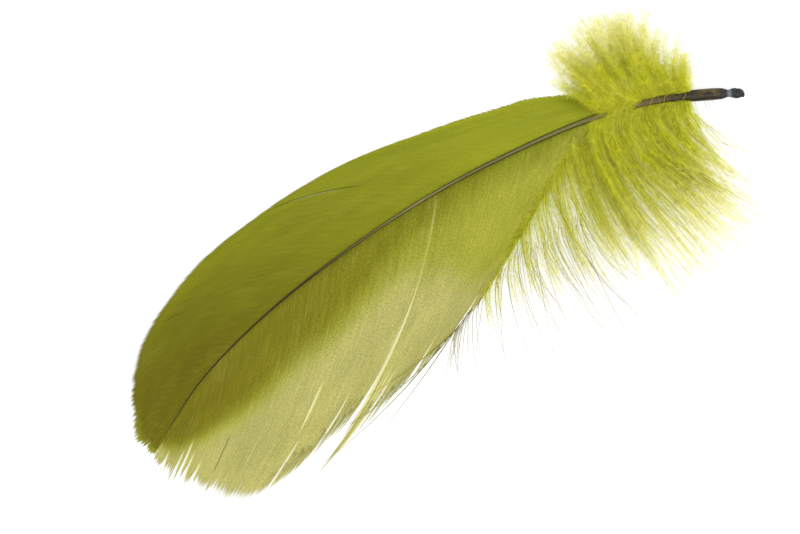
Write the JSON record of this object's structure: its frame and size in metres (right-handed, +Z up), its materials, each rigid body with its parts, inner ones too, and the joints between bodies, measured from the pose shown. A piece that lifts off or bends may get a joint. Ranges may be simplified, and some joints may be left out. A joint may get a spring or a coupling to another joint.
{
  "type": "goose quill feather",
  "caption": "Loose goose quill feather with a bare quill, a curved shaft, two webs of barbs and fluffy down at their foot, lying flat.",
  "frame": {"origin": "on the table, under the middle of the feather's bounding box", "axes": "+X from the feather's tip to its quill, +Y to the narrower left web, +Z up from the table out of the feather's upper side"},
  "size_m": [0.1572, 0.063, 0.011],
  "materials": {
    "quill": "satin",
    "web_left": "matte",
    "web_right": "matte",
    "down": "matte"
  },
  "bodies": {
    "root": {"shaft": "quill", "vane_left": "web_left", "vane_right": "web_right", "down_left": "down", "down_right": "down"}
  },
  "joints": []
}
